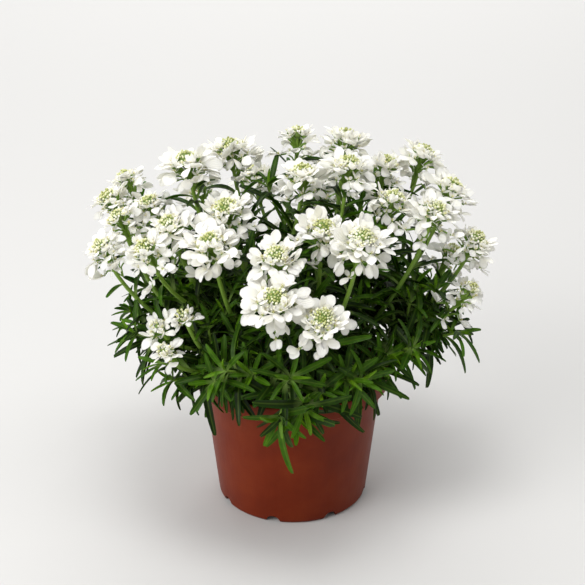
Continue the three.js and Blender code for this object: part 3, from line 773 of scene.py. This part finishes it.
for number, name in enumerate(branch_corners):
    sketch = Sketch()
    for i, curve in enumerate(flowering[name]):
        head = branch_heads[name][i]
        centre, radius = head_centres[head], head_radii[head]
        way = facing(centre)
        is_trunk = not i
        in_middle = Vector((centre.x, centre.y)).length < MIDDLE_RADIUS
        key = number * 4 + i
        points = marks_on(curve, 14)
        if is_trunk:
            points = [Vector((points[0].x, points[0].y, STEM_FOOT_Z)), *points]
        sketch.line(STEM, points, 0.0018 if is_trunk else 0.0014, 0.0011, 0.15 if is_trunk else 0.45, 0.9)
        # The leaves are larger and stand out more near the foot of the stem. On stems that lean far out, the
        # upper half keeps only a fourth of them.
        count = round(curve_length(curve) * 0.84 / LEAF_SPACING)
        for k in range(count):
            t = mix(0.06 if is_trunk else 0.14, 0.9, ((k + 0.5) / count) ** 0.8)
            if t > 0.5 and k % 4 and not in_middle:
                continue
            rise = math.radians(mix(74, 42, t) + mix(-12, 12, chance(k, key + 60)))
            size = mix(1.06, 0.68, t ** 1.6) * mix(0.8, 1.15, chance(k, key + 70))
            tone = mix(-0.08, 0.3, chance(k, key + 80)) + 0.34 * t
            set_leaf(sketch, LEAF, curve, t, k, key, rise, size, tone, 0.0009)
        for k in range(SHORT_SHOOTS):
            t = mix(0.16, 0.6 if in_middle else 0.4, (k + chance(key, k + 160)) / SHORT_SHOOTS)
            out = across(heading(curve, t), k * 2.4 + key * 1.7)
            way_out = (heading(curve, t) + out * 1.1).normalized()
            start = on_curve(curve, t)
            tip = start + way_out * mix(0.016, 0.030, chance(key, k + 170)) + Vector((0, 0, 0.003))
            side_curve = stem_curve(start, way_out, tip, (way_out + Vector((0, 0, 0.5))).normalized())
            set_shoot(sketch, side_curve, key * 3 + k, 0.15, SHORT_SPACING, 0.9, 6, 0.0008)
        # The dome of buds is about two fifths of the head across, round a green core at the stem's tip,
        # coloured near-black green as painted shade between the buds. A larger head has more buds, and they
        # are whiter towards the dome's edge, where they open first.
        dome = radius * 0.41
        buds = round(mix(30, 72, min(1, max(0, (radius - 0.008) / 0.010))))
        core = dome * 0.74
        ripe = mix(-0.12, 0.08, chance(number, i + 185))
        if head in YOUNG_HEADS:
            dome, buds, core = radius * 0.5, 13, radius * 0.16
        # The core gets tone 0, the darkest leaf colour. This is painted shade in the gaps between the buds.
        sketch.point(BUD_CORE, centre + way * 0.0028, way.orthogonal(), way, (core, core, core * 0.76), 0.0)
        for k in range(buds):
            out_share = math.sqrt((k + 0.5) / buds)
            out = across(way, k * GOLDEN_ANGLE + key)
            bud_way = (way + out * 0.8 * out_share).normalized()
            height = 0.0034 + 0.58 * dome * (1 - out_share ** 2)
            unevenness = mix(-0.0008, 0.0009, chance(k, key + 180))
            place = centre + way * height + out * dome * out_share + way * unevenness
            swell = mix(0.8, 0.98, out_share) * mix(0.72, 1.15, chance(k, key + 100))
            sketch.point(BUD, place, bud_way.orthogonal(), bud_way, (swell, swell, swell * 1.15),
                         ripe + mix(0.06, 0.4, out_share ** 2) + 0.48 * chance(k, key + 110))
        # A stalk runs to each floret from the stem, in a curve that starts some way below the head.
        for k, (tier, place, *_) in enumerate(florets_of(head)):
            back = mix(0.007, 0.013, chance(k, key + 120)) + (0.004 if tier == "lower" else 0)
            if tier == "stray":
                back = (centre - place).dot(way) + 0.007
            low = centre - way * back
            bend = low + way * back * 0.45 + (place - low) * 0.35
            steps = [low * (1 - t) ** 2 + bend * 2 * t * (1 - t) + place * t * t for t in (0, 0.34, 0.67, 1)]
            sketch.line(STALK, steps, 0.00042, 0.00062, 0.75, 0.66)
    for i, curve in enumerate(shoots[name]):
        key = 100 + number * 6 + i
        tip = curve[3]
        height_share = min(1, max(0, (tip.z - 0.112) / 0.03))
        set_shoot(sketch, curve, key, 0.12, LEAF_SPACING, mix(1.0, 0.7, height_share), 10, 0.0012)
        outward = Vector((tip.x, tip.y, 0)).normalized()
        aside = outward.cross(Vector((0, 0, 1)))
        for k, side in enumerate((-1, 1)):
            start = on_curve(curve, 0.5 + 0.14 * k)
            way_out = (heading(curve, 0.5) + aside * side * 0.9).normalized()
            hang = tip.z < HANGING_BELOW and tip.y < HANGING_Y and abs(tip.x) < 0.02
            reach = mix(0.020, 0.030, chance(key, k + 190)) * (0.84 if hang else 1)
            spread = 0.3 if hang else 0.75
            end = start + (outward * 0.75 + aside * side * spread).normalized() * reach
            end += Vector((0, 0, -0.002 if hang else 0.005))
            end_way = (outward + aside * side * 0.4 + Vector((0, 0, -0.7 if hang else 0.5))).normalized()
            side_curve = stem_curve(start, way_out, end, end_way)
            leaf_size = 1.22 if hang else 0.96
            set_shoot(sketch, side_curve, key * 2 + k, 0.2, SHORT_SPACING, leaf_size, 7, 0.0009)
    grown_branch = grown(sketch.mesh(name), branch_tree, LEAF_SIZES)
    branch = shown(name.replace("leafy_branch", "branch"), grown_branch)
    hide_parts(name)

# Flower heads
# Each head is a ring of white florets round its dome of buds. A floret has four petals: the two that point
# outwards are large and round-ended, the two that point inwards stay small, and yellow anthers stand between
# them.
PETAL, SMALL_PETAL, CURLED_PETAL, ANTHER, PISTIL = range(5)
# A petal's sizes are shares of its length, which each petal has from its own point.
PETAL_SIZES = {
    "Petal length": 1, "Petal width": 0.72, "Petal thickness": 0.035, "Petal arch": -0.22, "Petal fold": 0.24,
    "Small petal length": 1, "Small petal width": 0.72, "Small petal thickness": 0.06,
    "Small petal arch": -0.22, "Small petal fold": 0.24,
    "Curled petal length": 1, "Curled petal width": 0.72, "Curled petal thickness": 0.035,
    "Curled petal arch": 0.28, "Curled petal fold": 0.1, "Anther radius": 0.00028}
SMALL_APART = 0.6
ANTHERS = 4

petal_blade = blade_group("petal_blade", [
    (0, 0.12), (0.18, 0.18), (0.4, 0.6), (0.62, 0.93), (0.78, 1.0), (0.93, 0.74), (1, 0.24)], 8, 6)
small_petal_blade = blade_group("small_petal_blade", [
    (0, 0.14), (0.2, 0.3), (0.45, 0.8), (0.7, 1.0), (0.9, 0.76), (1, 0.2)], 6, 6)

# Petal skin: warm white and matt, thin enough to glow, with about seven veins along it, less than 1 mm apart,
# and a green tinge at its narrow root.
petal_skin, tree = bare_material("white_petal")
tone, along, across_petal = (
    add(tree, "ShaderNodeAttribute", attribute_name=label).outputs["Fac"]
    for label in ("tone", "along", "across"))
veins = add(tree, "ShaderNodeMath", {0: across_petal, 1: 21.0}, operation="MULTIPLY")
veins = add(tree, "ShaderNodeMath", {0: veins}, operation="SINE")
white_tone = add(tree, "ShaderNodeMath", {0: veins, 1: 0.04, 2: tone}, operation="MULTIPLY_ADD")
white = add(tree, "ShaderNodeValToRGB", {"Fac": white_tone}, stops=[
    (0.0, "#f8f6ec"), (0.3, "#f1eee0"), (0.6, "#dedac0")])
root = add(tree, "ShaderNodeMapRange", {"Value": along, "From Max": 0.28, "To Min": 0.7, "To Max": 0})
tinged = add(tree, "ShaderNodeMix", {0: root, 6: white, 7: linear("#d5dea0")}, data_type="RGBA")
ridges = add(tree, "ShaderNodeBump", {"Height": veins, "Strength": 0.2, "Distance": 0.0003})
thin = add(tree, "ShaderNodeBsdfPrincipled", {
    "Base Color": tinged.outputs[2], "Roughness": 0.55, "IOR": 1.4, "Normal": ridges,
    "Subsurface Weight": 0.75, "Subsurface Radius": (0.0010, 0.0010, 0.0009), "Subsurface Scale": 1.0})
add(tree, "ShaderNodeOutputMaterial", {"Surface": thin})

# Anthers: small, pale yellow beads, matt and dusty with pollen in grains of 0.4 mm, coarser than real ones so
# that they show.
anther_skin, tree = bare_material("pollen_yellow")
where = add(tree, "ShaderNodeTexCoord").outputs["Object"]
dust = add(tree, "ShaderNodeTexNoise", {"Vector": where, "Scale": 2500, "Detail": 2})
mustard = add(tree, "ShaderNodeValToRGB", {"Fac": dust}, stops=[(0.35, "#cfc277"), (0.65, "#ebe4b4")])
dusty_beads = add(tree, "ShaderNodeBsdfPrincipled", {"Base Color": mustard, "Roughness": 0.85})
add(tree, "ShaderNodeOutputMaterial", {"Surface": dusty_beads})


def anther_shape(group, sizes_in):
    return add(group, "GeometryNodeMeshUVSphere", {
        "Segments": 4, "Rings": 3, "Radius": sizes_in["Anther radius"]})


head_tree = plant_tree("flower_head", PETAL_SIZES, {}, {
    PETAL: (shape_of(petal_blade, "Petal"), petal_skin),
    SMALL_PETAL: (shape_of(small_petal_blade, "Small petal"), petal_skin),
    CURLED_PETAL: (shape_of(petal_blade, "Curled petal"), petal_skin),
    ANTHER: (anther_shape, anther_skin), PISTIL: (anther_shape, bud_skin)})

for name in head_centres:
    number = int(name[-2:])
    sketch = Sketch()
    for k, (tier, place, out, way, lift, reach) in enumerate(florets_of(name)):
        key = number * 40 + k
        lean = mix(-0.35, 0.35, chance(key, 60)) if tier != "inner" else 0
        way = (way + way.cross(out) * lean).normalized()
        side = way.cross(out)
        aged = 0.04 + 0.1 * chance(key, 50) + (0.22 * chance(key, 51) if tier == "lower" else 0)
        apart = mix(0.3, 0.55, chance(key, 61))
        # How far each petal is turned from the way out, and whether it is a large one. The florets nearest to
        # the dome have just opened, and their four petals are still small.
        if tier == "inner":
            turns = [(-SMALL_APART, False), (SMALL_APART, False)]
        else:
            turns = [(-apart, True), (apart, True)]
        turns += [(math.pi - SMALL_APART, False), (math.pi + SMALL_APART, False)]
        for j, (turn, large) in enumerate(turns):
            petal_key = key * 4 + j
            turn += mix(-0.14, 0.14, chance(petal_key, 53))
            flat = out * math.cos(turn) + side * math.sin(turn)
            rise = lift + mix(-0.22, 0.22, chance(petal_key, 54))
            if not large and tier != "inner":
                rise = lift * 0.5 + 0.55
            grow = (flat * math.cos(rise) + way * math.sin(rise)).normalized()
            face = (way * math.cos(rise) - flat * math.sin(rise)).normalized()
            twist = mix(-0.6, 0.6, chance(petal_key, 55)) + (0.16 if j == 0 else -0.16)
            face = (face * math.cos(twist) + grow.cross(face) * math.sin(twist)).normalized()
            long = reach * mix(0.84, 1.08, chance(petal_key, 56))
            if not large:
                long = reach * (mix(0.42, 0.56, chance(petal_key, 62)) if tier != "inner" else 1)
            curled = large and (tier == "lower" or chance(petal_key, 57) > 0.6)
            part = CURLED_PETAL if curled else (PETAL if large else SMALL_PETAL)
            wide = long * mix(0.8, 1.1, chance(petal_key, 58))
            sketch.point(part, place + flat * 0.0003, grow, face,
                         (wide, long, long * mix(0.5, 1.7, chance(petal_key, 59))), aged)
        axis = (way + out * 0.25).normalized()
        for j in range(ANTHERS):
            turn = 2 * math.pi * (j + 0.5) / ANTHERS
            spot = place + axis * 0.0018 + across(axis, turn) * 0.0007
            sketch.point(ANTHER, spot, axis.orthogonal(), axis, (1, 1, 1.3), 0.5)
        sketch.point(PISTIL, place + axis * 0.001, axis.orthogonal(), axis, (1.5, 1.5, 2.4), 0.2)
    head = shown(name.replace("flower_head", "head"), grown(sketch.mesh(name), head_tree, PETAL_SIZES))
    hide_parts(name)

# Floor and studio light
# A seamless pale sheet of paper. The strongest softbox stands at the left, weaker ones hang in front at the
# left, overhead and at the right, and one more lights the sheet behind, so that it fades to white.
floor_shape = bmesh.new()
bmesh.ops.create_grid(floor_shape, x_segments=1, y_segments=1, size=6)
floor_mesh = made_mesh("studio_floor", floor_shape)
backdrop_paper, tree = bare_material("pale_backdrop_paper")
paper = add(tree, "ShaderNodeBsdfPrincipled", {"Base Color": linear("#cccbc9"), "Roughness": 0.8})
add(tree, "ShaderNodeOutputMaterial", {"Surface": paper})
floor_mesh.materials.append(backdrop_paper)
floor = in_scene("studio_floor", floor_mesh)
floor.location.z = -0.0002


def soft_light(name, place, width, height, watts, aim=(0, 0, 0.1)):
    lamp = bpy.data.lights.new(name, "AREA")
    lamp.shape = "RECTANGLE"
    lamp.size = width
    lamp.size_y = height
    lamp.energy = watts
    light = in_scene(name, lamp)
    light.location = place
    light.rotation_euler = (Vector(aim) - Vector(place)).to_track_quat("-Z", "Y").to_euler()


soft_light("overhead_softbox", (-0.1, -0.22, 1.5), 0.5, 0.5, 7.2)
soft_light("second_overhead_softbox", (0.35, -0.3, 1.5), 0.6, 0.6, 3)
soft_light("window_softbox", (-2.0, -0.7, 0.9), 1.2, 1.2, 17)
soft_light("front_softbox", (-0.9, -1.0, 1.0), 0.8, 0.8, 10.5)
soft_light("right_softbox", (1.2, 0.1, 1.2), 1.0, 1.0, 1.5)
soft_light("backdrop_light", (0.1, 1.9, 1.8), 2.5, 1.2, 41, aim=(0, 2.2, 0))
world = bpy.data.worlds.new("studio_room")
world.use_nodes = True
room_light = world.node_tree.nodes["Background"].inputs
room_light["Color"].default_value = (1, 1, 1, 1)
room_light["Strength"].default_value = 0.49
bpy.context.scene.world = world
bpy.context.scene.view_settings.view_transform = "Standard"

# Camera
# At the height and distance of the photograph, about 24 degrees above the horizon.
camera = in_scene("camera", bpy.data.cameras.new("camera"))
camera.location = (0, -0.806, 0.503)
camera.rotation_euler = (math.radians(65.5), 0, 0)
camera.data.lens = 89.4
camera.data.sensor_width = 36
bpy.context.scene.camera = camera
